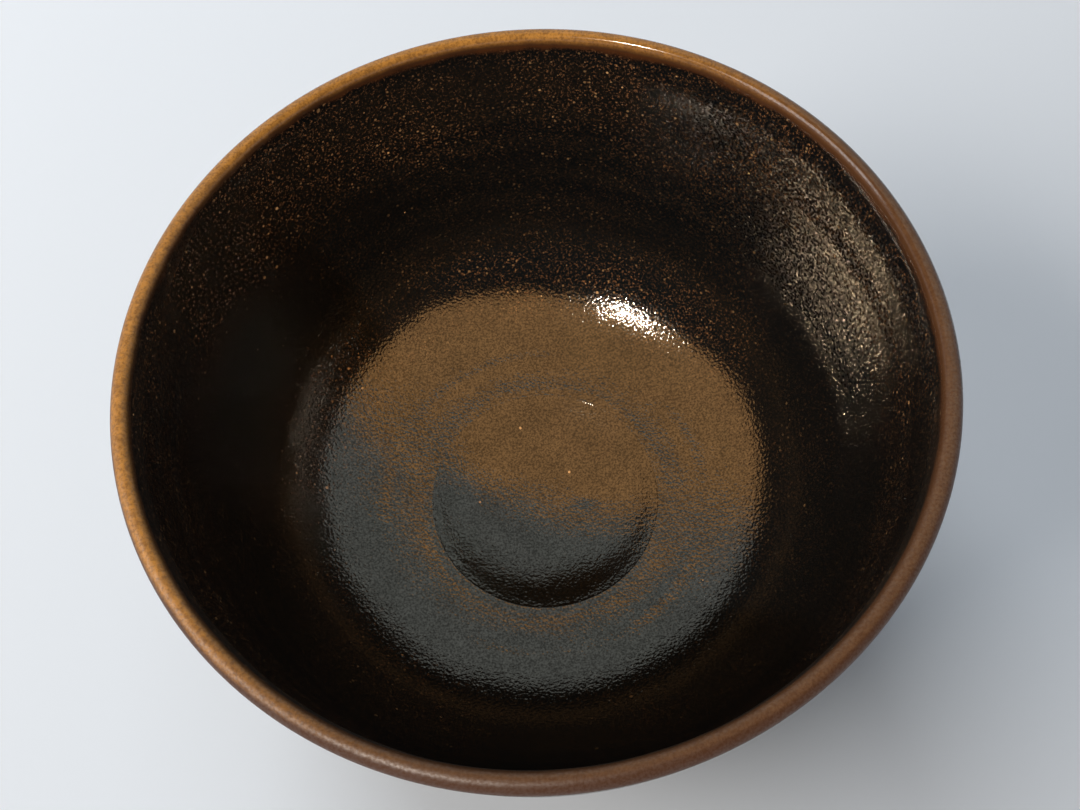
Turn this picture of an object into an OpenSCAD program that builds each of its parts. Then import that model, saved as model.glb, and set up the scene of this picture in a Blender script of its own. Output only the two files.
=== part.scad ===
// Thrown stoneware tea bowl for whisked green tea, with a dark glaze inside and out.
// Lengths are in millimetres. The z axis is the axis of the potter's wheel,
// and the foot stands on z = 0 with its centre at the origin.

/* [Bowl] */
// Radius of the rim at its widest
rim_r = 60.5; // [58:0.5:66]
// Height from the table to the top of the lip
height = 76; // [71:1:83]
// Thickness of the lip from the inner wall to the outer wall
lip_w = 3; // [3:0.1:4.2]
// Radius of the rounded outer edge of the lip
lip_round = 1.8; // [1.2:0.1:1.8]
// Height of the inside floor above the table, where the wall starts to rise
floor_z = 15.5; // [15:0.5:17]
// Radius at which the floor turns up into the wall
floor_r = 28.6; // [27:0.2:30]

/* [Tea recess] */
// Radius of the round recess in the middle of the floor
recess_r = 21.7; // [16:0.1:24]
// Depth of the recess below its own edge
recess_depth = 4.5; // [3:0.1:5]

/* [Foot] */
// Radius of the foot ring where it stands on the table
foot_r = 25.5; // [22:0.5:27]
// Height of the foot ring
foot_h = 6; // [5:0.5:6.5]
// Width of the foot ring from its inner wall to its outer wall
foot_w = 6; // [5:0.5:8]

/* [Glaze] */
// Thickness of the glaze on the walls
glaze_t = 0.6; // [0.5:0.1:1]
// Thickness of the glaze where it has thinned over the lip
lip_glaze_t = 0.4; // [0.3:0.1:0.5]
// Extra thickness of the roll in which the outer glaze ends
roll_t = 1; // [0.4:0.1:1.4]

/* [Hidden] */

// Number of straight steps in each curve of the outline
dish_steps = 10;
shelf_steps = 3;
wall_steps = 26;
lip_steps = 6;
roll_steps = 8;
bare_steps = 4;
edge_steps = 4;

// Share of the outer wall, from the lip down, where the glaze starts to gather and where it ends
roll_start = 0.84;
roll_end = 0.91;

// The floor between the recess and the wall rises more and more steeply
shelf_slope = tan(2);
shelf_slope_end = tan(9.8);
shelf_w = floor_r - recess_r;
shelf_rise = shelf_w * (shelf_slope + shelf_slope_end) / 2;
recess_z = floor_z - shelf_rise - recess_depth;

// The foot ring flares towards the bowl, and its standing edges are rounded
foot_flare = 1.5;
foot_edge = 1.2;
foot_top_r = foot_r + foot_flare;
hollow_r = foot_r - foot_w;
hollow_dome = 0.3;

// The dish of the recess steepens as this power of the distance from the axis
dish_power = 2.4;

// End points and tangent angles of the two wall curves
inner_top = [rim_r - lip_w, height - lip_round];
outer_top = [rim_r, height - lip_round];
inner_slope = 9.8;
inner_lean = 84.5;
outer_slope = 8;
outer_lean = 85.5;
// Lengths of each curve's handles, first at the foot and then at the lip
inner_handles = rim_r * [0.403, 0.567];
outer_handles = rim_r * [0.5, 0.66];

// Point at distance r from the origin in direction angle
function polar(r, angle) = [r * cos(angle), r * sin(angle)];

// Point at fraction t of the cubic curve that starts at a, is pulled by b and c, and ends at d
function curve(a, b, c, d, t) =
    a * pow(1 - t, 3) + 3 * b * t * pow(1 - t, 2) + 3 * c * t * t * (1 - t) + d * pow(t, 3);

// Points on a circle or ellipse about centre, from angle a0 to angle a1
function arc(centre, rx, ry, a0, a1, steps) = [
    for (i = [0:steps])
        let (a = a0 + (a1 - a0) * i / steps)
        centre + [rx * cos(a), ry * sin(a)]
];

// Concave dish of the recess, flat in the middle and steepest at its edge
function dish_point(u) = [u * recess_r, recess_z + recess_depth * pow(u, dish_power)];

// Floor between the recess and the wall
function shelf_point(u) = [
    recess_r + u * shelf_w,
    recess_z + recess_depth + shelf_w * (u * shelf_slope + u * u * (shelf_slope_end - shelf_slope) / 2)
];

function inner_wall_point(u) = curve(
    [floor_r, floor_z],
    [floor_r, floor_z] + polar(inner_handles[0], inner_slope),
    inner_top - polar(inner_handles[1], inner_lean),
    inner_top,
    u
);

function outer_wall_point(u) = curve(
    outer_top,
    outer_top - polar(outer_handles[1], outer_lean),
    [foot_top_r, foot_h] + polar(outer_handles[0], outer_slope),
    [foot_top_r, foot_h],
    u
);

// The glaze thins towards the lip, where u reaches 1
function coat(u) = glaze_t + (lip_glaze_t - glaze_t) * pow(u, 6);

// The last stretch of the outer glaze swells into a roll and ends in nothing, where s reaches 1
function roll(s) = glaze_t * (1 - s) + roll_t * sin(180 * s);

// Stations along the whole outline, from the wheel's axis across the floor, over the lip
// and down the outside to the foot. Each one is [point, glaze allowance, glaze thickness].
// The clay lies the allowance below the point, and the glaze rises its thickness above the clay.
inner_stations = concat(
    [for (i = [0:dish_steps - 1]) [dish_point(i / dish_steps), glaze_t, glaze_t]],
    [for (i = [0:shelf_steps - 1]) [shelf_point(i / shelf_steps), glaze_t, glaze_t]],
    [for (i = [0:wall_steps - 1])
        let (u = i / wall_steps)
        [inner_wall_point(u), coat(u), coat(u)]]
);
lip_stations = concat(
    [for (p = arc(inner_top + [lip_w - lip_round, 0], lip_w - lip_round, lip_round, 180, 90, lip_steps))
        [p, lip_glaze_t, lip_glaze_t]],
    [for (i = [1:lip_steps])
        [outer_top - [lip_round, 0] + polar(lip_round, 90 - 90 * i / lip_steps), lip_glaze_t, lip_glaze_t]]
);
outer_stations = concat(
    [for (i = [1:wall_steps])
        let (u = roll_start * i / wall_steps)
        [outer_wall_point(u), coat(1 - u), coat(1 - u)]],
    [for (i = [1:roll_steps])
        let (s = i / roll_steps)
        [outer_wall_point(roll_start + s * (roll_end - roll_start)), glaze_t, roll(s)]]
);
bare_stations = [
    for (i = [1:bare_steps])
        let (s = i / bare_steps)
        [outer_wall_point(roll_end + s * (1 - roll_end)), glaze_t * (1 - s), 0]
];
stations = concat(inner_stations, lip_stations, outer_stations, bare_stations);

// Stations at which one glaze ends and the next one starts
lip_from = len(inner_stations);
lip_to = lip_from + len(lip_stations) - 1;
glaze_to = lip_to + len(outer_stations);
last = len(stations) - 1;

// Direction that points straight out of the surface at station i
function outward(i) =
    i == 0 ? [0, 1] :
    let (step = stations[min(i + 1, last)][0] - stations[i - 1][0])
    [-step[1], step[0]] / norm(step);

clay_skin = [for (i = [0:last]) stations[i][0] - stations[i][1] * outward(i)];
glaze_skin = [for (i = [0:last]) clay_skin[i] + stations[i][2] * outward(i)];

// Solid swept round the wheel's axis from an outline of [radius, height] points
module thrown(outline) {
    rotate_extrude($fn = 144) polygon(outline);
}

// Outline of the coat between stations a and b
function coat_outline(a, b) = concat(
    [for (i = [a:b]) glaze_skin[i]],
    [for (i = [b:-1:a]) if (norm(clay_skin[i] - glaze_skin[i]) > 0) clay_skin[i]]
);

// Thrown wall and floor, down to the flat on which the foot ring is luted
module clay_body() {
    color("#6b4c39") thrown(concat(clay_skin, [[hollow_r, foot_h], [0, foot_h + hollow_dome]]));
}

// Ring of clay on which the bowl stands
module foot_ring() {
    color("#74543f") thrown(concat(
        arc([hollow_r + foot_edge, foot_edge], foot_edge, foot_edge, 180, 270, edge_steps),
        arc([foot_r - foot_edge, foot_edge], foot_edge, foot_edge, 270, 360, edge_steps),
        [[foot_top_r, foot_h], [hollow_r, foot_h]]
    ));
}

// Dark glaze that was poured in and lines the whole inside
module inner_glaze() {
    color("#1d130c") thrown(coat_outline(0, lip_from));
}

// Thin amber glaze over the rounded lip
module lip_glaze() {
    color("#a06c34") thrown(coat_outline(lip_from, lip_to));
}

// Dark glaze on the outside, which ends in a thick roll above the foot
module outer_glaze() {
    color("#24170e") thrown(coat_outline(lip_to, glaze_to));
}

clay_body();
foot_ring();
inner_glaze();
lip_glaze();
outer_glaze();
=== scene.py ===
import math

import bpy
import numpy as np
from mathutils import Matrix, Vector


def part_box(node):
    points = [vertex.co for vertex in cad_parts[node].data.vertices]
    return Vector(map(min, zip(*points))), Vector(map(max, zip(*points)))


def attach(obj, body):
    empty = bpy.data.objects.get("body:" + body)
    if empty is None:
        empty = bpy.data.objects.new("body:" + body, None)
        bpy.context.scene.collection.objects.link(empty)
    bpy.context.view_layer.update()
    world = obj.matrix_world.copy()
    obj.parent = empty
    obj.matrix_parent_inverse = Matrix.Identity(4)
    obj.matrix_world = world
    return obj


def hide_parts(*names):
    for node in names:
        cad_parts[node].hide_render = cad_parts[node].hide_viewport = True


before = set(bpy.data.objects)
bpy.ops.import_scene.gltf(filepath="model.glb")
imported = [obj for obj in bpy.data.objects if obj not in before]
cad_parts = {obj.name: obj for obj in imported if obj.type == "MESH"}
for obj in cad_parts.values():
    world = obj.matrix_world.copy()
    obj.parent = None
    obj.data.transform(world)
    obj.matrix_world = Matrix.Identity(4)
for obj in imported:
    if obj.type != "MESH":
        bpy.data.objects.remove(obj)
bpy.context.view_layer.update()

# A thrown stoneware tea bowl. The z axis is the potter's wheel's axis and the foot stands on z = 0.
# Everything is in metres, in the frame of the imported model. An azimuth is an angle round the z axis,
# in degrees from the x axis, and an elevation is an angle above the horizontal.
MM = 0.001

# ---------------------------------------------------------------- sizes, from the frame
_, lip_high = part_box("lip_glaze")
_, foot_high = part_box("foot_ring")
inner_low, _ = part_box("inner_glaze")

RIM_R = lip_high.x
HEIGHT = lip_high.z
FOOT_TOP_R = foot_high.x
FOOT_H = foot_high.z

# The bowl's sections, as in the CAD model
LIP_W = 3.0 * MM
LIP_ROUND = 1.8 * MM
GLAZE_T = 0.6 * MM
LIP_GLAZE_T = 0.4 * MM
ROLL_T = 1.0 * MM
RECESS_R = 21.7 * MM
RECESS_DEPTH = 4.5 * MM
DISH_POWER = 2.4
FLOOR_R = 28.6 * MM
FOOT_FLARE = 1.5 * MM
FOOT_W = 6.0 * MM
FOOT_EDGE = 1.2 * MM
HOLLOW_DOME = 0.3 * MM

# Slopes of the wall curves where they start and end, in degrees, and the lengths of their handles
SHELF_START = 2.0
INNER_SLOPE = 9.8
INNER_LEAN = 84.5
OUTER_SLOPE = 8.0
OUTER_LEAN = 85.5
INNER_HANDLES = (0.403 * RIM_R, 0.567 * RIM_R)
OUTER_HANDLES = (0.50 * RIM_R, 0.66 * RIM_R)

FOOT_R = FOOT_TOP_R - FOOT_FLARE
HOLLOW_R = FOOT_R - FOOT_W
RECESS_Z = inner_low.z + GLAZE_T
SHELF_SLOPE = (math.tan(math.radians(SHELF_START)), math.tan(math.radians(INNER_SLOPE)))
SHELF_W = FLOOR_R - RECESS_R
FLOOR_Z = RECESS_Z + RECESS_DEPTH + SHELF_W * sum(SHELF_SLOPE) / 2

INNER_TOP = np.array([RIM_R - LIP_W, HEIGHT - LIP_ROUND])
OUTER_TOP = np.array([RIM_R, HEIGHT - LIP_ROUND])
FLOOR_END = np.array([FLOOR_R, FLOOR_Z])
FOOT_JOINT = np.array([FOOT_TOP_R, FOOT_H])

# Points along each stretch of an outline, and round the wheel's axis in every revolved mesh
CURVE_STEPS = 400
ARC_STEPS = 60
SPOKES = 512
THETA = np.linspace(0.0, 2 * math.pi, SPOKES, endpoint=False)


# ---------------------------------------------------------------- outlines
def polar(length, degrees):
    """The (across, up) step of that length at that slope."""
    return length * np.array([math.cos(math.radians(degrees)), math.sin(math.radians(degrees))])


def cubic(a, b, c, d):
    """Points of the cubic curve that starts at a, is pulled by b and c, and ends at d."""
    t = np.linspace(0.0, 1.0, CURVE_STEPS)[:, None]
    return a * (1 - t) ** 3 + 3 * b * t * (1 - t) ** 2 + 3 * c * t * t * (1 - t) + d * t**3


def arc(centre, rx, ry, start, end):
    """Points of a circle or ellipse about centre, from angle start to angle end in degrees."""
    a = np.radians(np.linspace(start, end, ARC_STEPS))
    return np.stack([centre[0] + rx * np.cos(a), centre[1] + ry * np.sin(a)], axis=1)


class Outline:
    """A curve of (radius, height) points, looked up by the length along it."""

    SAME_POINT = 1e-9

    def __init__(self, *stretches):
        points = np.concatenate(stretches)
        apart = np.linalg.norm(np.diff(points, axis=0), axis=1) > self.SAME_POINT
        self.points = points[np.concatenate([[True], apart])]
        steps = np.linalg.norm(np.diff(self.points, axis=0), axis=1)
        self.lengths = np.concatenate([[0.0], np.cumsum(steps)])
        self.total = self.lengths[-1]
        tangent = np.gradient(self.points, self.lengths, axis=0)
        self.tangent = tangent / np.linalg.norm(tangent, axis=1)[:, None]

    def _look_up(self, values, length):
        return np.stack([np.interp(length, self.lengths, values[:, k]) for k in (0, 1)], axis=-1)

    def at(self, length):
        return self._look_up(self.points, length)

    def outward(self, length):
        """Direction straight out of the clay: to the left of the way the outline runs."""
        tangent = self._look_up(self.tangent, length)
        normal = np.stack([-tangent[..., 1], tangent[..., 0]], axis=-1)
        return normal / np.linalg.norm(normal, axis=-1, keepdims=True)

    def length_at_radius(self, radius):
        """Length at which the outline first reaches the radius."""
        return self.lengths[np.argmax(self.points[:, 0] >= radius)]


def inside_outline():
    """From the axis across the recess and the floor, up the wall to the lip."""
    u = np.linspace(0.0, 1.0, CURVE_STEPS)
    dish = np.stack([u * RECESS_R, RECESS_Z + RECESS_DEPTH * u**DISH_POWER], axis=1)
    rise = SHELF_W * (u * SHELF_SLOPE[0] + u * u * (SHELF_SLOPE[1] - SHELF_SLOPE[0]) / 2)
    shelf = np.stack([RECESS_R + u * SHELF_W, RECESS_Z + RECESS_DEPTH + rise], axis=1)
    wall = cubic(
        FLOOR_END,
        FLOOR_END + polar(INNER_HANDLES[0], INNER_SLOPE),
        INNER_TOP - polar(INNER_HANDLES[1], INNER_LEAN),
        INNER_TOP,
    )
    return Outline(dish, shelf, wall)


def lip_outline():
    """Over the lip, from the inner wall to the outer wall."""
    centre = OUTER_TOP - [LIP_ROUND, 0.0]
    return Outline(
        arc(centre, LIP_W - LIP_ROUND, LIP_ROUND, 180, 90),
        arc(centre, LIP_ROUND, LIP_ROUND, 90, 0),
    )


def outside_outline():
    """From the lip down the outer wall to the foot."""
    wall = cubic(
        OUTER_TOP,
        OUTER_TOP - polar(OUTER_HANDLES[1], OUTER_LEAN),
        FOOT_JOINT + polar(OUTER_HANDLES[0], OUTER_SLOPE),
        FOOT_JOINT,
    )
    return Outline(wall)


def foot_outline():
    """From the hollow, round the two standing edges, to the joint with the outer wall."""
    return Outline(
        np.array([[HOLLOW_R, FOOT_H]]),
        arc([HOLLOW_R + FOOT_EDGE, FOOT_EDGE], FOOT_EDGE, FOOT_EDGE, 180, 270),
        arc([FOOT_R - FOOT_EDGE, FOOT_EDGE], FOOT_EDGE, FOOT_EDGE, 270, 360),
        np.array([FOOT_JOINT]),
    )


INSIDE = inside_outline()
LIP = lip_outline()
OUTSIDE = outside_outline()
FOOT = foot_outline()
RECESS_AT = INSIDE.length_at_radius(RECESS_R)
WALL_AT = INSIDE.length_at_radius(FLOOR_R)


# ---------------------------------------------------------------- the potter's hand
def smooth(low, high, value):
    """0 below low, 1 above high, and an even blend between them."""
    t = np.clip((value - low) / (high - low), 0.0, 1.0)
    return t * t * (3 - 2 * t)


def bump(value, centre, width):
    """A rounded ridge of height 1 at centre."""
    return np.exp(-(((value - centre) / width) ** 2))


def grooves(along, pitch, phase):
    """Even grooves between -1 and 1, one to each pitch."""
    return np.sin(2 * math.pi * along / pitch + phase)


def side(azimuth):
    """1 towards that azimuth, 0 on the other side of the bowl."""
    return 0.5 + 0.5 * np.cos(THETA - math.radians(azimuth))


RIPPLE_WAVES = 26
RIPPLE_SPANS = (0.7, 1.5)
RIPPLE_HEIGHT = 0.6


def ripples(points, wavelength, seed):
    """Smooth random height, mostly between -1 and 1, that changes over the given wavelength."""
    rng = np.random.default_rng(seed)
    ways = rng.normal(size=(RIPPLE_WAVES, 3))
    ways /= np.linalg.norm(ways, axis=1)[:, None]
    spans = wavelength * rng.uniform(*RIPPLE_SPANS, RIPPLE_WAVES)
    phases = rng.uniform(0, 2 * math.pi, RIPPLE_WAVES)
    total = np.zeros(points.shape[:-1])
    for way, span, phase in zip(ways, spans, phases):
        total += np.sin(points @ way * (2 * math.pi / span) + phase)
    return total * math.sqrt(2 / RIPPLE_WAVES) * RIPPLE_HEIGHT


def uneven(points, waves):
    """Random height made of waves, each given as (height, wavelength, seed)."""
    return sum(height * ripples(points, wavelength, seed) for height, wavelength, seed in waves)


def around(section):
    """Points in space of a (rings, spokes, 2) or (rings, 1, 2) array of (radius, height)."""
    radius = section[..., 0] + 0 * THETA
    height = section[..., 1] + 0 * THETA
    return np.stack([radius * np.cos(THETA), radius * np.sin(THETA), height], axis=-1)


# The soft rim was bent: it leans in by up to this share of its radius and dips by up to this much.
# Each wave round the rim is (size, number of them round the rim, phase in radians).
RIM_LEAN = 0.006
RIM_DIP = 0.35 * MM
QUARTER = math.pi / 2
LEAN_WAVES = ((0.25, 2, 0.5 + QUARTER), (0.15, 3, 2.1 + QUARTER), (0.10, 5, 0.0))
DIP_WAVES = ((0.30, 1, 0.9), (0.20, 3, 0.4))


def lobes(angle, waves):
    """Between 0 and 1, by angle round the rim."""
    return 0.5 + sum(size * np.sin(count * angle + phase) for size, count, phase in waves)


def hand_thrown(points):
    """Bends points as the soft rim was bent. Nothing grows past the CAD model."""
    angle = np.arctan2(points[..., 1], points[..., 0])
    height = points[..., 2]
    shrink = 1 - RIM_LEAN * smooth(0.25 * HEIGHT, HEIGHT, height) * lobes(angle, LEAN_WAVES)
    bent = points.copy()
    bent[..., 0] *= shrink
    bent[..., 1] *= shrink
    bent[..., 2] -= RIM_DIP * smooth(0.9 * HEIGHT, HEIGHT, height) * lobes(angle, DIP_WAVES)
    return bent


# Ridges round the inside wall, each as (height, depth below the rim, width, how much it sways,
# azimuth where it is strongest, how sharply it fades from there, least share elsewhere)
INNER_RIDGES = (
    (0.66 * MM, 7.5 * MM, 3.8 * MM, 0.5, 20, 10, 0.06),
    (0.42 * MM, 17.0 * MM, 2.3 * MM, 1.0, 20, 10, 0.12),
    (0.30 * MM, 34.0 * MM, 1.8 * MM, -1.0, 58, 40, 0.0),
)
RIDGE_SWAY = 0.9 * MM
INNER_GROOVE = 0.03 * MM
INNER_PITCH = 6.5 * MM
INNER_WAVES = ((0.04 * MM, 14 * MM, 11), (0.008 * MM, 3.5 * MM, 13))
# Low ring round the floor, and the softened edge of the recess inside it
FLOOR_RING_R = 29.5 * MM
FLOOR_RING_H = 0.19 * MM
FLOOR_RING_W = 1.4 * MM
RECESS_EDGE_H = 0.12 * MM
RECESS_EDGE_W = 1.0 * MM
THUMB_MARK_AT = (8 * MM, 1 * MM)
THUMB_MARK_DEPTH = 0.16 * MM
THUMB_MARK_R = 2.2 * MM


def floor_marks(flat):
    """Height of the marks in the recess and round it."""
    radius = np.hypot(flat[..., 0], flat[..., 1])
    to_thumb = np.hypot(flat[..., 0] - THUMB_MARK_AT[0], flat[..., 1] - THUMB_MARK_AT[1])
    broken = np.clip(0.6 + ripples(flat, 40 * MM, 7), 0, 1)
    marks = FLOOR_RING_H * bump(radius, FLOOR_RING_R, FLOOR_RING_W) * broken
    marks -= RECESS_EDGE_H * bump(radius, RECESS_R, RECESS_EDGE_W)
    marks -= THUMB_MARK_DEPTH * bump(to_thumb, 0.0, THUMB_MARK_R)
    return marks


def inner_relief(length):
    """Height of the throwing marks and waves in the glaze inside. It is flat next to the lip."""
    flat = around(INSIDE.at(length))
    below = HEIGHT - flat[..., 2]
    on_wall = smooth(FLOOR_Z + 4 * MM, FLOOR_Z + 16 * MM, flat[..., 2])
    off_lip = smooth(1.9 * MM, 4.5 * MM, below)
    sway = RIDGE_SWAY * ripples(flat, 60 * MM, 5)
    relief = floor_marks(flat) + uneven(flat, INNER_WAVES)
    relief += INNER_GROOVE * on_wall * grooves(below, INNER_PITCH, THETA + 1.5 * ripples(flat, 70 * MM, 3))
    for height, depth, width, swayed, azimuth, sharpness, least in INNER_RIDGES:
        strength = least + (1 - least) * side(azimuth) ** sharpness
        relief += height * bump(below + swayed * sway, depth, width) * strength
    return relief * off_lip


OUTER_GROOVE = 0.16 * MM
OUTER_PITCH = 8.5 * MM
OUTER_WAVES = ((0.10 * MM, 22 * MM, 23), (0.010 * MM, 3.5 * MM, 29))
# The outer marks are cut below the CAD surface, and the glaze stays this thick in the deepest ones
OUTER_MARKS_BELOW = 0.3 * MM
THINNEST_GLAZE = 0.2 * MM


def outer_relief(length):
    """Height of the throwing marks on the outside. It is flat next to the lip."""
    flat = around(OUTSIDE.at(length))
    fade = smooth(0.0, 9 * MM, length + 0 * THETA)
    spiral = grooves(flat[..., 2], OUTER_PITCH, 1.2 * ripples(flat, 60 * MM, 17) - THETA)
    relief = OUTER_GROOVE * spiral * (0.7 + 0.3 * ripples(flat, 50 * MM, 19))
    relief += uneven(flat, OUTER_WAVES)
    return np.clip(relief - OUTER_MARKS_BELOW, THINNEST_GLAZE - GLAZE_T, 0.0) * fade


# Length down the outer wall at which the glaze ends, the waves of that line, its drips as
# (azimuth, length, width in degrees), and the length of the roll that it ends in
GLAZE_END = 0.83 * OUTSIDE.total
GLAZE_END_WAVES = ((1.3 * MM, 45 * MM, 31), (0.5 * MM, 12 * MM, 37))
DRIPS = (
    (62, 2.6 * MM, 7),
    (118, 1.6 * MM, 9),
    (203, 3.2 * MM, 6),
    (251, 1.8 * MM, 10),
    (322, 2.4 * MM, 8),
)
ROLL_L = 5.5 * MM
# The roll is fullest low down: 1 would put its fullest part in the middle
ROLL_SAG = 1.4


def glaze_line():
    """Where the outer glaze ends, by angle: it hangs lower in a few broad drips."""
    ring = around(OUTSIDE.at(np.array([[GLAZE_END]])))[0]
    line = GLAZE_END + uneven(ring, GLAZE_END_WAVES)
    for azimuth, drop, width in DRIPS:
        turned = np.angle(np.exp(1j * (THETA - math.radians(azimuth))))
        line = line + drop * bump(turned, 0.0, math.radians(width))
    return line


# Marks of the turning tool on the bare clay
BARE_FROM = GLAZE_END - 8 * MM
BARE_GROOVE = 0.05 * MM
BARE_PITCH = 1.6 * MM
BARE_WAVES = ((0.04 * MM, 6 * MM, 41),)
BARE_CUT = 0.1 * MM
FOOT_GROOVE = 0.06 * MM
FOOT_PITCH = 1.9 * MM
FOOT_GRIT = 0.05 * MM
FOOT_GRIT_SPAN = 3 * MM
HOLLOW_GROOVE = 0.16 * MM
HOLLOW_PITCH = 4.2 * MM
NIPPLE_H = 0.7 * MM
NIPPLE_R = 2.6 * MM


def bare_relief(length):
    """Height of the turning marks on the outer wall below the glaze."""
    marks = BARE_GROOVE * grooves(length, BARE_PITCH, THETA) - BARE_CUT
    marks = marks + uneven(around(OUTSIDE.at(length)), BARE_WAVES)
    return marks * smooth(BARE_FROM, BARE_FROM + 4 * MM, length)


def foot_relief(length):
    """Depth of the grit and turning marks on the foot ring. It is flat next to the bowl."""
    grit = FOOT_GRIT * (1 + ripples(around(FOOT.at(length)), FOOT_GRIT_SPAN, 43)) / 2
    turning = FOOT_GROOVE * (1 + grooves(length, FOOT_PITCH, 2 * THETA)) / 2
    ends = smooth(0, 1 * MM, length) * (1 - smooth(FOOT.total - 1 * MM, FOOT.total, length))
    return (grit + turning) * ends


# ---------------------------------------------------------------- meshes
# Distances between rings of points: on hidden faces, down a plain wall, on detail
HIDDEN_STEP = 3.0 * MM
CLAY_STEP = 2.5 * MM
DISH_STEP = 1.2 * MM
WALL_STEP = 0.75 * MM
FLOOR_STEP = 0.5 * MM
DETAIL_STEP = 0.3 * MM
EDGE_STEP = 0.14 * MM
# Numbers of rings of points over the lip, on the clay under it, down the roll, on the hidden
# face of the outer glaze and across the hollow of the foot
LIP_RINGS = 36
LIP_RINGS_PER_HIDDEN = 4
CLAY_LIP_RINGS = 12
ROLL_RINGS = 19
BACK_RINGS = 30
HOLLOW_RINGS = 44
# Faces that meet at more than this angle, in degrees, are shaded with a sharp edge
SHARP_ANGLE = 50
ON_AXIS = 1e-7


def spaced(*stretches):
    """Lengths from stretches of (start, end, step), without repeats, as one column."""
    parts = []
    for start, end, step in stretches:
        count = max(1, round((end - start) / step))
        parts.append(np.linspace(start, end, count, endpoint=False))
    return np.concatenate([*parts, [stretches[-1][1]]])[:, None]


def coat_thickness(share):
    """The glaze thins towards the lip, where share reaches 1."""
    return GLAZE_T + (LIP_GLAZE_T - GLAZE_T) * np.clip(share, 0, 1) ** 6


def skin(outline, length, rise):
    """Rings of points that stand rise above the outline. length and rise broadcast to (rings, spokes)."""
    section = outline.at(length) + outline.outward(length) * np.asarray(rise)[..., None]
    return around(section)


def put_on_axis(ring):
    """Moves a ring of points to the wheel's axis, where it becomes one point."""
    ring[:, 0:2] = 0.0
    ring[:, 2] = ring[:, 2].mean()


def is_on_axis(ring):
    return bool(np.all(np.hypot(ring[:, 0], ring[:, 1]) < ON_AXIS))


def band_faces(a, b):
    """Quads between ring a and ring b of a revolved mesh."""
    spoke = np.arange(SPOKES)
    after = (spoke + 1) % SPOKES
    corners = [a * SPOKES + spoke, a * SPOKES + after, b * SPOKES + after, b * SPOKES + spoke]
    return [tuple(quad) for quad in np.stack(corners, axis=1).tolist()]


def cap_faces(ring, centre, flip):
    """Triangles between a ring of a revolved mesh and the vertex on the axis that closes it."""
    start = ring * SPOKES
    fan = [(start + (k + 1) % SPOKES, start + k, centre) for k in range(SPOKES)]
    return [(b, a, c) for a, b, c in fan] if flip else fan


def revolved(name, rings):
    """A closed mesh from (rings, spokes, 3) points. A first or last ring on the axis becomes one point."""
    rings = hand_thrown(rings)
    starts_on_axis = is_on_axis(rings[0])
    ends_on_axis = is_on_axis(rings[-1])
    body = rings[int(starts_on_axis) : len(rings) - int(ends_on_axis)]
    vertices = [tuple(v) for v in body.reshape(-1, 3)]
    last = len(body) - 1
    faces = [face for k in range(last) for face in band_faces(k, k + 1)]
    if not (starts_on_axis or ends_on_axis):
        faces.extend(band_faces(last, 0))
    if starts_on_axis:
        faces.extend(cap_faces(0, len(vertices), False))
        vertices.append(tuple(rings[0, 0]))
    if ends_on_axis:
        faces.extend(cap_faces(last, len(vertices), True))
        vertices.append(tuple(rings[-1, 0]))
    mesh = bpy.data.meshes.new(name)
    mesh.from_pydata(vertices, [], faces)
    mesh.validate()
    mesh.update()
    piece = bpy.data.objects.new(name, mesh)
    bpy.context.scene.collection.objects.link(piece)
    mesh.shade_smooth()
    mesh.set_sharp_from_angle(angle=math.radians(SHARP_ANGLE))
    return piece


def clay_under_inner_glaze(step):
    """Rings on the clay under the inner glaze, from the axis to the lip."""
    length = spaced((0.0, INSIDE.total, step))
    rings = skin(INSIDE, length, -coat_thickness((length - WALL_AT) / (INSIDE.total - WALL_AT)))
    put_on_axis(rings[0])
    return rings


def make_inner_glaze():
    length = spaced(
        (0.0, RECESS_AT - 6 * MM, DISH_STEP),
        (RECESS_AT - 6 * MM, RECESS_AT - 1 * MM, FLOOR_STEP),
        (RECESS_AT - 1 * MM, RECESS_AT + 1 * MM, EDGE_STEP),
        (RECESS_AT + 1 * MM, WALL_AT + 6 * MM, FLOOR_STEP),
        (WALL_AT + 6 * MM, INSIDE.total - 4 * MM, WALL_STEP),
        (INSIDE.total - 4 * MM, INSIDE.total, DETAIL_STEP),
    )
    front = skin(INSIDE, length, inner_relief(length))
    put_on_axis(front[0])
    back = clay_under_inner_glaze(HIDDEN_STEP)
    return revolved("inner_glaze_coat", np.concatenate([front, back[::-1]]))


def make_lip_glaze():
    length = np.linspace(0.0, LIP.total, LIP_RINGS)[:, None]
    hidden_length = length[::LIP_RINGS_PER_HIDDEN]
    front = skin(LIP, length, 0 * length)
    back = skin(LIP, hidden_length, 0 * hidden_length - LIP_GLAZE_T)
    return revolved("lip_glaze_coat", np.concatenate([front, back[::-1]]))


def make_outer_glaze():
    end = glaze_line()
    start = end - ROLL_L
    # rings down to the roll, at shares of the way that are closer together just under the lip
    down = spaced((0.0, 0.05, 0.005), (0.05, 1.0, 0.0105)) * start
    upper = skin(OUTSIDE, down, outer_relief(down))
    s = np.linspace(0.0, 1.0, ROLL_RINGS)[1:, None]
    roll_length = start + s * ROLL_L
    swell = ROLL_T * np.sin(math.pi * s**ROLL_SAG) * (0.8 + 0.2 * np.cos(3 * THETA))
    roll = skin(OUTSIDE, roll_length, swell - GLAZE_T * s**3 + outer_relief(roll_length) * (1 - s))
    back_length = np.linspace(1.0, 0.0, BACK_RINGS)[:, None] * end
    back = skin(OUTSIDE, back_length, -coat_thickness(1 - back_length / GLAZE_END))
    return revolved("outer_glaze_coat", np.concatenate([upper, roll, back[1:]]))


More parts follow.
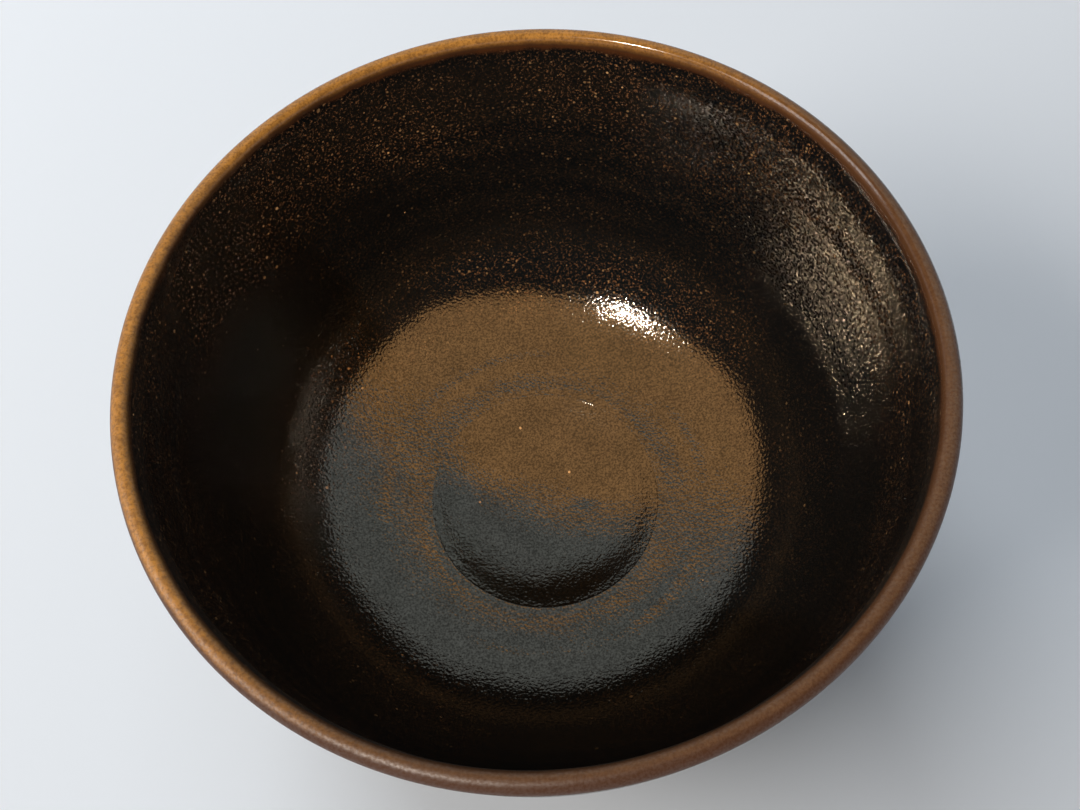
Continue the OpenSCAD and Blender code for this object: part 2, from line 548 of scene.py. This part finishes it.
def hollow_rings():
    """The domed hollow inside the foot ring, from its edge to the axis, with a turned nipple."""
    radius = np.linspace(HOLLOW_R, 0.0, HOLLOW_RINGS)[:, None]
    dome = FOOT_H + HOLLOW_DOME * (1 - (radius / HOLLOW_R) ** 2)
    inside_edge = 1 - smooth(HOLLOW_R - 2 * MM, HOLLOW_R, radius)
    swirl = HOLLOW_GROOVE * grooves(radius, HOLLOW_PITCH, THETA) * smooth(0, 6 * MM, radius) * inside_edge
    nipple = -NIPPLE_H * bump(radius, 0.0, NIPPLE_R)
    rings = around(np.stack([radius + 0 * THETA, dome + swirl + nipple], axis=-1))
    put_on_axis(rings[-1])
    return rings


def make_clay_body():
    inner = clay_under_inner_glaze(CLAY_STEP)
    lip_length = np.linspace(0.0, LIP.total, CLAY_LIP_RINGS)[1:-1, None]
    lip = skin(LIP, lip_length, 0 * lip_length - LIP_GLAZE_T)
    length = spaced((0.0, BARE_FROM, CLAY_STEP), (BARE_FROM, OUTSIDE.total, DETAIL_STEP))
    fade = 1 - smooth(OUTSIDE.total - 3 * MM, OUTSIDE.total, length)
    thickness = coat_thickness(1 - length / OUTSIDE.total)
    outer = skin(OUTSIDE, length, (bare_relief(length) - thickness) * fade)
    return revolved("clay_body_wall", np.concatenate([inner, lip, outer, hollow_rings()]))


def make_foot_ring():
    length = spaced((0.0, FOOT.total, DETAIL_STEP))
    # the outline runs with the clay on its left, so a positive rise goes into the clay
    rings = skin(FOOT, length, foot_relief(length))
    rings[..., 2] = np.maximum(rings[..., 2], 0.0)
    return revolved("foot_ring_turned", rings)


# ---------------------------------------------------------------- materials
class Graph:
    """Short calls for building a node material. Distances are given in metres."""

    # Offsets of the noise and of the cells for each unit of seed
    NOISE_SHIFT = (0.37, 0.61, 0.83)
    CELL_SHIFT = (0.53, 0.29, 0.71)
    # Share of a dot's full size that every dot has, and the two radii between which its edge fades
    LEAST_DOT = 0.3
    DOT_EDGE = (1.15, 0.7)

    def __init__(self, name):
        self.material = bpy.data.materials.new(name)
        self.material.use_nodes = True
        self.tree = self.material.node_tree
        self.shader = self.tree.nodes["Principled BSDF"]
        self.place = self.add("ShaderNodeTexCoord").outputs["Object"]
        split = self.add("ShaderNodeSeparateXYZ", Vector=self.place)
        self.x, self.y, self.z = split.outputs

    def add(self, kind, **inputs):
        """A new node of that kind, with its named inputs fed."""
        node = self.tree.nodes.new(kind)
        for key, value in inputs.items():
            self.feed(node.inputs[key.replace("_", " ")], value)
        return node

    def feed(self, socket, value):
        """Links a socket to the value, or sets it where the value is a plain one."""
        if isinstance(value, bpy.types.NodeSocket):
            self.tree.links.new(value, socket)
        elif isinstance(value, tuple) and len(value) == 3 and socket.type == "RGBA":
            socket.default_value = (*value, 1.0)
        else:
            socket.default_value = value

    def finish(self, **inputs):
        """Feeds the surface shader's inputs and gives the material."""
        for key, value in inputs.items():
            self.feed(self.shader.inputs[key.replace("_", " ")], value)
        return self.material

    def math(self, operation, *values):
        node = self.add("ShaderNodeMath")
        node.operation = operation
        for socket, value in zip(node.inputs, values):
            self.feed(socket, value)
        return node.outputs[0]

    def times(self, first, *others):
        """The product of all the values."""
        for other in others:
            first = self.math("MULTIPLY", first, other)
        return first

    def scaled(self, value, factor, offset):
        return self.math("MULTIPLY_ADD", value, factor, offset)

    def radius(self):
        """Distance from the wheel's axis."""
        return self.math("SQRT", self.scaled(self.x, self.x, self.times(self.y, self.y)))

    def toward(self, azimuth):
        """Distance from the axis towards that azimuth, as a share of the rim's radius."""
        a = math.radians(azimuth)
        return self.scaled(self.x, math.cos(a) / RIM_R, self.times(self.y, math.sin(a) / RIM_R))

    def shifted(self, shift, seed):
        """The place on the object, moved so that each seed has its own pattern."""
        node = self.add("ShaderNodeVectorMath", Vector=self.place)
        node.operation = "ADD"
        node.inputs[1].default_value = tuple(seed * part for part in shift)
        return node.outputs[0]

    def noise(self, cell, detail, roughness, seed):
        """Noise between 0 and 1 that varies over about a cell's width."""
        node = self.add("ShaderNodeTexNoise", Vector=self.shifted(self.NOISE_SHIFT, seed))
        for key, value in (("Scale", 1.0 / cell), ("Detail", detail), ("Roughness", roughness)):
            self.feed(node.inputs[key], value)
        return node.outputs[0]

    def step(self, value, low, high, to_low=0.0, to_high=1.0):
        """to_low where value is below low, to_high above high, and a smooth blend between."""
        node = self.add("ShaderNodeMapRange", Value=value)
        node.interpolation_type = "SMOOTHSTEP"
        for name, number in (("From Min", low), ("From Max", high), ("To Min", to_low), ("To Max", to_high)):
            self.feed(node.inputs[name], number)
        return node.outputs[0]

    def blend(self, factor, a, b):
        """The number a where factor is 0 and b where it is 1."""
        node = self.add("ShaderNodeMix")
        for socket, value in zip((node.inputs[0], node.inputs[2], node.inputs[3]), (factor, a, b)):
            self.feed(socket, value)
        return node.outputs[0]

    def mix(self, factor, a, b):
        """The colour a where factor is 0 and b where it is 1."""
        node = self.add("ShaderNodeMix")
        node.data_type = "RGBA"
        for socket, value in zip((node.inputs[0], node.inputs[6], node.inputs[7]), (factor, a, b)):
            self.feed(socket, value)
        return node.outputs[2]

    def specks(self, size, share, reach, seed):
        """Round dots in a share of random cells, each up to reach of a cell in radius."""
        place = self.shifted(self.CELL_SHIFT, seed)
        cells = self.add("ShaderNodeTexVoronoi", Vector=place, Scale=1.0 / size)
        random = self.add("ShaderNodeSeparateColor", Color=cells.outputs["Color"])
        chosen = self.math("GREATER_THAN", random.outputs[0], 1.0 - share)
        limit = self.scaled(random.outputs[1], (1 - self.LEAST_DOT) * reach, self.LEAST_DOT * reach)
        edges = [self.times(limit, edge) for edge in self.DOT_EDGE]
        return self.times(self.step(cells.outputs["Distance"], *edges), chosen)

    def bumps(self, height, distance):
        return self.add("ShaderNodeBump", Height=height, Distance=distance).outputs[0]


# Colours of the glaze, as linear red, green and blue
BLACK = (0.0019, 0.0027, 0.0039)
BROWN = (0.1700, 0.0950, 0.0500)
RUST = (0.0440, 0.0175, 0.0072)
GOLD = (0.5000, 0.3500, 0.2000)
OCHRE = (0.3200, 0.1450, 0.0300)
TAUPE = (0.0800, 0.0380, 0.0165)
GLAZE_IOR = 1.55
PEEL_CELL = 0.55 * MM
PEEL_DEPTH = 0.075 * MM

# Zones of the glaze, each from where it fades in to where it is full
OVER_CREST = (RIM_R - 2.1 * MM, RIM_R - 1.3 * MM)
NEAR_LIP = (HEIGHT - 8 * MM, HEIGHT - 2 * MM)
UPPER_WALL = (HEIGHT - 30 * MM, HEIGHT - 18 * MM)
WALL_FOOT = (FLOOR_Z + 18 * MM, FLOOR_Z + 8 * MM)
ON_FLOOR = (FLOOR_Z + 4 * MM, FLOOR_Z + 1.5 * MM)
GRAINY_FROM = (HEIGHT - 46 * MM, HEIGHT - 34 * MM)
GRAINY_UNTIL = (HEIGHT - 2.5 * MM, HEIGHT - 4.5 * MM)


def speck_crowd_with_painted_light(g):
    """How crowded the grains and specks are: most below the lip and at the foot of the far wall. The extra
    crowding at the far wall's foot and on the far side is partly real specks and partly painted light, which
    lightens the far wall where light falls on it.
    """
    upper = g.step(g.z, *UPPER_WALL)
    # partly painted light: more grains and specks at the foot of the far wall lighten it where light falls
    # on it
    far_foot_specks_and_light = g.times(g.step(g.z, *WALL_FOOT), g.step(g.toward(105), -0.1, 0.5, 0.1, 1.0))
    crowd = g.scaled(g.math("MAXIMUM", upper, far_foot_specks_and_light), 0.75, 0.25)
    patches = g.step(g.noise(22 * MM, 3.0, 0.6, seed=1.0), 0.35, 0.62)
    on_floor = g.step(g.z, *ON_FLOOR, 1.0, 0.15)
    # partly painted light: more grains and specks on the far side lighten the lit far wall
    far_side_specks_and_light = g.step(g.toward(85), 0.1, 0.8, 0.9, 1.45)
    return g.times(crowd, g.scaled(patches, 0.7, 0.3), on_floor, far_side_specks_and_light)


def speckled_black(g):
    """The dark glaze with its brown grains and golden specks, from fine dust to a few large ones."""
    # the crowding also carries painted light, which lightens the far wall
    crowd = speck_crowd_with_painted_light(g)
    grains = g.step(g.noise(0.45 * MM, 3.0, 0.8, seed=2.0), 0.52, 0.80)
    body = g.mix(g.times(grains, crowd), BLACK, BROWN)
    dust = g.times(g.specks(0.9 * MM, 0.30, 0.30, seed=3.0), crowd)
    body = g.mix(g.times(dust, 0.20), body, GOLD)
    crumbs = g.times(g.specks(2.3 * MM, 0.20, 0.15, seed=4.0), crowd)
    body = g.mix(g.times(crumbs, 0.55), body, GOLD)
    return g.mix(g.times(g.specks(4.5 * MM, 0.10, 0.07, seed=10.0), 0.6), body, GOLD)


def lip_depth_share(g, outside):
    """Depth below the top of the lip, as a share of how far down the amber reaches there."""
    reach_in = g.scaled(g.toward(65), 0.45 * MM, 1.05 * MM)
    reach_out = g.scaled(g.toward(-80), -0.75 * MM, 1.0 * MM)
    ragged = g.scaled(g.noise(5 * MM, 3.0, 0.55, seed=5.0), 0.9, 0.55)
    depth = g.math("SUBTRACT", HEIGHT, g.z)
    return g.math("DIVIDE", depth, g.times(g.blend(outside, reach_in, reach_out), ragged))


def amber_over_lip(g, body, near_lip):
    """Amber where the glaze thins over the lip, through rust to the body on both sides of it."""
    outside = g.step(g.radius(), *OVER_CREST)
    share = lip_depth_share(g, outside)
    streaks = g.step(g.noise(1.6 * MM, 4.0, 0.6, seed=6.0), 0.3, 0.7)
    freckles = g.step(g.noise(0.42 * MM, 2.0, 0.6, seed=9.0), 0.42, 0.66)
    amber = g.mix(g.step(g.toward(140), -0.45, 0.55), TAUPE, OCHRE)
    amber = g.mix(g.times(streaks, 0.35), amber, RUST)
    amber = g.mix(g.times(freckles, 0.45), amber, RUST)
    body = g.mix(g.step(share, 2.1, 1.2), body, RUST)
    body = g.mix(g.times(outside, near_lip), body, RUST)
    return g.mix(g.step(share, 1.3, 0.2), body, amber)


def glaze_roughness(g, near_lip, grainy):
    """The glaze is duller on the lip, most of all away from the kiln's fire, and on the grainy wall."""
    dull = g.times(near_lip, g.step(g.toward(70), 0.5, -0.2, 0.04, 0.32))
    dull = g.scaled(grainy, 0.03, dull)
    gloss = g.scaled(g.noise(6 * MM, 2.0, 0.5, seed=7.0), 0.06, 0.07)
    return g.math("ADD", gloss, dull)


def crystal_shine(g, near_lip, grainy):
    """Tiny crystals in the surface make the reflections grainy, most of all on the grainy wall."""
    crystals = g.step(g.noise(0.38 * MM, 2.0, 0.6, seed=12.0), 0.32, 0.68, 0.28, 0.72)
    glints = g.step(g.noise(0.50 * MM, 1.0, 0.5, seed=14.0), 0.49, 0.64, 0.02, 2.0)
    clouds = g.scaled(g.noise(6 * MM, 3.0, 0.6, seed=13.0), 0.5, 0.75)
    return g.times(g.blend(grainy, crystals, glints), clouds, g.scaled(near_lip, -0.5, 1.0))


def orange_peel(g, grainy):
    """The orange peel is calm in the recess and on the lip, and strongest on the grainy wall."""
    calm_lip = g.step(g.z, HEIGHT - 5 * MM, HEIGHT - 2 * MM, 1.0, 0.12)
    calm_recess = g.step(g.radius(), RECESS_R - 6 * MM, RECESS_R, 0.7, 1.0)
    share = g.times(calm_lip, calm_recess, g.scaled(grainy, 0.9, 1.0))
    return g.bumps(g.times(g.noise(PEEL_CELL, 1.0, 0.5, seed=8.0), share), PEEL_DEPTH)


def glaze_material(name):
    """Dark iron glaze with golden specks that thins to amber over the lip."""
    g = Graph(name)
    near_lip = g.step(g.z, *NEAR_LIP)
    # the grainy part of the wall is on the right side, on the outside of the wall too
    right_side = g.step(g.toward(24), 0.5, 0.85)
    grainy = g.times(g.step(g.z, *GRAINY_FROM), g.step(g.z, *GRAINY_UNTIL), right_side)
    return g.finish(
        Base_Color=amber_over_lip(g, speckled_black(g), near_lip),
        Roughness=glaze_roughness(g, near_lip, grainy),
        Specular_IOR_Level=crystal_shine(g, near_lip, grainy),
        IOR=GLAZE_IOR,
        Normal=orange_peel(g, grainy),
    )


def clay_material():
    """Bare iron-bearing stoneware, matt, with grog and darker toasted patches."""
    g = Graph("bare_stoneware")
    pale = (0.300, 0.185, 0.115)
    toasted = (0.165, 0.082, 0.045)
    dark = (0.045, 0.026, 0.018)
    sand = (0.480, 0.380, 0.280)
    patches = g.step(g.noise(14 * MM, 4.0, 0.6, seed=11.0), 0.35, 0.68)
    mottle = g.step(g.noise(1.1 * MM, 4.0, 0.7, seed=12.0), 0.5, 0.8)
    body = g.mix(patches, toasted, pale)
    body = g.mix(g.times(mottle, 0.5), body, toasted)
    body = g.mix(g.times(g.specks(1.3 * MM, 0.25, 0.28, seed=13.0), 0.85), body, dark)
    body = g.mix(g.times(g.specks(1.0 * MM, 0.20, 0.25, seed=14.0), 0.6), body, sand)
    return g.finish(
        Base_Color=body,
        Roughness=g.scaled(g.noise(2 * MM, 3.0, 0.6, seed=15.0), 0.25, 0.62),
        Normal=g.bumps(g.noise(0.5 * MM, 4.0, 0.7, seed=16.0), 0.10 * MM),
    )


def floor_material():
    """Plain, pale and matt."""
    return Graph("pale_floor").finish(Base_Color=(0.80, 0.81, 0.82), Roughness=0.9)


# ---------------------------------------------------------------- the object
stoneware = clay_material()
clay = make_clay_body()
foot = make_foot_ring()
inside_coat = make_inner_glaze()
lip_coat = make_lip_glaze()
outside_coat = make_outer_glaze()
pieces = (
    (clay, "clay_body", "stoneware", stoneware),
    (foot, "foot_ring", "stoneware", stoneware),
    (inside_coat, "inner_glaze", "inner_glaze", glaze_material("inner_glaze_finish")),
    (lip_coat, "lip_glaze", "lip_glaze", glaze_material("lip_glaze_finish")),
    (outside_coat, "outer_glaze", "outer_glaze", glaze_material("outer_glaze_finish")),
)
for piece, node, slot, material in pieces:
    piece.data.materials.append(material)
    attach(piece, "root")
    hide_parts(node)

# ---------------------------------------------------------------- studio
TABLE_R = 3.0
TABLE_SIDES = 128

bpy.ops.mesh.primitive_circle_add(vertices=TABLE_SIDES, radius=TABLE_R, fill_type="NGON")
floor = bpy.context.object
floor.name = "floor"
floor.data.materials.append(floor_material())


def lit_group(name, *things):
    """A group of objects that a light can be limited to."""
    group = bpy.data.collections.new(name)
    for thing in things:
        group.objects.link(thing)
    return group


inside_only = lit_group("inside_only", inside_coat)
all_but_inside = lit_group("all_but_inside", clay, foot, lip_coat, outside_coat, floor)
bowl_only = lit_group("bowl_only", clay, foot, inside_coat, lip_coat, outside_coat)
lip_only = lit_group("lip_only", lip_coat)
floor_only = lit_group("floor_only", floor)

CENTRE = Vector((0.0, 0.0, 0.5 * HEIGHT))
CEILING = 1.0
CEILING_W = 3.2
# The warm ceiling's far edge and the cool one's near edge meet along one slanting line
EDGE_ANGLE = -25.0
EDGE_AT = 0.38
# Depth of each ceiling from that line, negative towards the camera, radiance and what it lights
CEILINGS = {
    "warm_ceiling": (-1.12, (2.70, 1.40, 0.50), inside_only),
    "cool_ceiling": (1.5, (0.96, 1.00, 0.90), bowl_only),
}
# Azimuth, elevation, distance, width, depth, radiance and what it lights
SOFT_BOXES = {
    "left_window": (192, 37, 1.3, 0.8, 0.7, (7.4, 7.2, 7.0), all_but_inside),
    "far_window": (112, 37, 1.4, 0.8, 0.6, (5.6, 6.0, 6.4), floor_only),
    "sky": (100, 75, 1.6, 1.2, 1.2, (0.9, 1.0, 1.15), floor_only),
    "small_lamp": (-134, 50, 1.6, 0.085, 0.085, (1500.0, 1270.0, 980.0), inside_only),
    "lip_lamp": (-123, 50, 1.6, 0.10, 0.10, (900.0, 800.0, 700.0), lip_only),
}
# Light that comes back up off the left wall and floor of the bowl and glints on the right wall,
# as lamps below the bowl: azimuth, elevation and share of the full radiance
GLOW_LAMPS = ((150, -54, 1.0), (167, -50, 0.8), (183, -46, 0.35))
GLOW_DISTANCE = 1.6
GLOW_SIZE = 0.1
GLOW_RADIANCE = (24.0, 17.5, 10.5)


def area_light(name, matrix, width, depth, radiance, lights):
    """A rectangular soft box that lights one group. radiance is the brightness of its face."""
    light = bpy.data.lights.new(name, "AREA")
    light.shape = "RECTANGLE"
    light.size = width
    light.size_y = depth
    light.energy = math.pi * width * depth
    light.color = radiance
    lamp = bpy.data.objects.new(name, light)
    bpy.context.scene.collection.objects.link(lamp)
    lamp.matrix_world = matrix
    lamp.light_linking.receiver_collection = lights
    return lamp


def facing_bowl(azimuth, elevation, distance):
    """Place and turn of a light that faces the bowl from that direction."""
    a, e = math.radians(azimuth), math.radians(elevation)
    away = Vector((math.cos(e) * math.cos(a), math.cos(e) * math.sin(a), math.sin(e)))
    turn = away.to_track_quat("Z", "Y").to_matrix()
    return Matrix.Translation(CENTRE + away * distance) @ turn.to_4x4()


def make_ceilings():
    turn = Matrix.Rotation(math.radians(EDGE_ANGLE), 4, "Z")
    across = turn @ Vector((0.0, 1.0, 0.0))
    edge = Vector((0.0, EDGE_AT * CEILING, CEILING))
    for name, (depth, radiance, lights) in CEILINGS.items():
        place = Matrix.Translation(edge + across * depth / 2)
        area_light(name, place @ turn, CEILING_W, abs(depth), radiance, lights)


def make_soft_boxes():
    for name, (azimuth, elevation, distance, width, depth, radiance, lights) in SOFT_BOXES.items():
        area_light(name, facing_bowl(azimuth, elevation, distance), width, depth, radiance, lights)


def make_glow_lamps():
    for azimuth, elevation, share in GLOW_LAMPS:
        matrix = facing_bowl(azimuth, elevation, GLOW_DISTANCE)
        radiance = tuple(share * level for level in GLOW_RADIANCE)
        lamp = area_light("left_glow", matrix, GLOW_SIZE, GLOW_SIZE, radiance, inside_only)
        # only the lip can shade the lamp, so it shines through the bowl's wall and floor
        lamp.light_linking.blocker_collection = lip_only
        lamp.data.cycles.use_multiple_importance_sampling = False


BACKDROP_COLOUR = (0.90, 0.95, 1.0, 1.0)
# Height of the view above the horizon at which the backdrop starts to darken and ends, and its
# strength at both
BACKDROP_FADE = {"From Min": 0.20, "From Max": 0.50, "To Min": 0.80, "To Max": 0.02}


def make_backdrop():
    """A pale backdrop near the horizon that darkens above the table."""
    world = bpy.data.worlds.new("studio")
    bpy.context.scene.world = world
    world.use_nodes = True
    tree = world.node_tree
    background = tree.nodes["Background"]
    place = tree.nodes.new("ShaderNodeTexCoord")
    split = tree.nodes.new("ShaderNodeSeparateXYZ")
    fade = tree.nodes.new("ShaderNodeMapRange")
    fade.interpolation_type = "SMOOTHSTEP"
    for name, value in BACKDROP_FADE.items():
        fade.inputs[name].default_value = value
    tree.links.new(place.outputs["Generated"], split.inputs[0])
    tree.links.new(split.outputs["Z"], fade.inputs["Value"])
    tree.links.new(fade.outputs[0], background.inputs["Strength"])
    background.inputs["Color"].default_value = BACKDROP_COLOUR


# The camera looks down into the bowl from in front, a little turned about its own line of sight.
# Its distance from the middle of the rim and its steps aside and up are in rim units.
VIEW_ELEVATION = 64.5
VIEW_ROLL = -4.8
RIM_UNIT = 60 * MM
VIEW_DISTANCE = 2.579 * RIM_UNIT
SIDE_STEP = 0.021 * RIM_UNIT
UP_STEP = -0.144 * RIM_UNIT
LENS = 36.4
SENSOR_W = 36.0
NEAREST_SEEN = 0.01


def make_camera():
    elevation = math.radians(VIEW_ELEVATION)
    roll = math.radians(VIEW_ROLL)
    forward = Vector((0.0, math.cos(elevation), -math.sin(elevation)))
    level = Vector((1.0, 0.0, 0.0))
    upright = level.cross(forward)
    right = math.cos(roll) * level + math.sin(roll) * upright
    top = -math.sin(roll) * level + math.cos(roll) * upright
    place = Vector((0.0, 0.0, HEIGHT)) - forward * VIEW_DISTANCE + right * SIDE_STEP + top * UP_STEP
    camera = bpy.data.objects.new("camera", bpy.data.cameras.new("camera"))
    camera.data.lens = LENS
    camera.data.sensor_width = SENSOR_W
    camera.data.clip_start = NEAREST_SEEN
    bpy.context.scene.collection.objects.link(camera)
    axes = Matrix((right, top, -forward)).transposed()
    camera.matrix_world = Matrix.Translation(place) @ axes.to_4x4()
    bpy.context.scene.camera = camera


make_ceilings()
make_soft_boxes()
make_glow_lamps()
make_backdrop()
make_camera()
bpy.context.scene.view_settings.view_transform = "Standard"
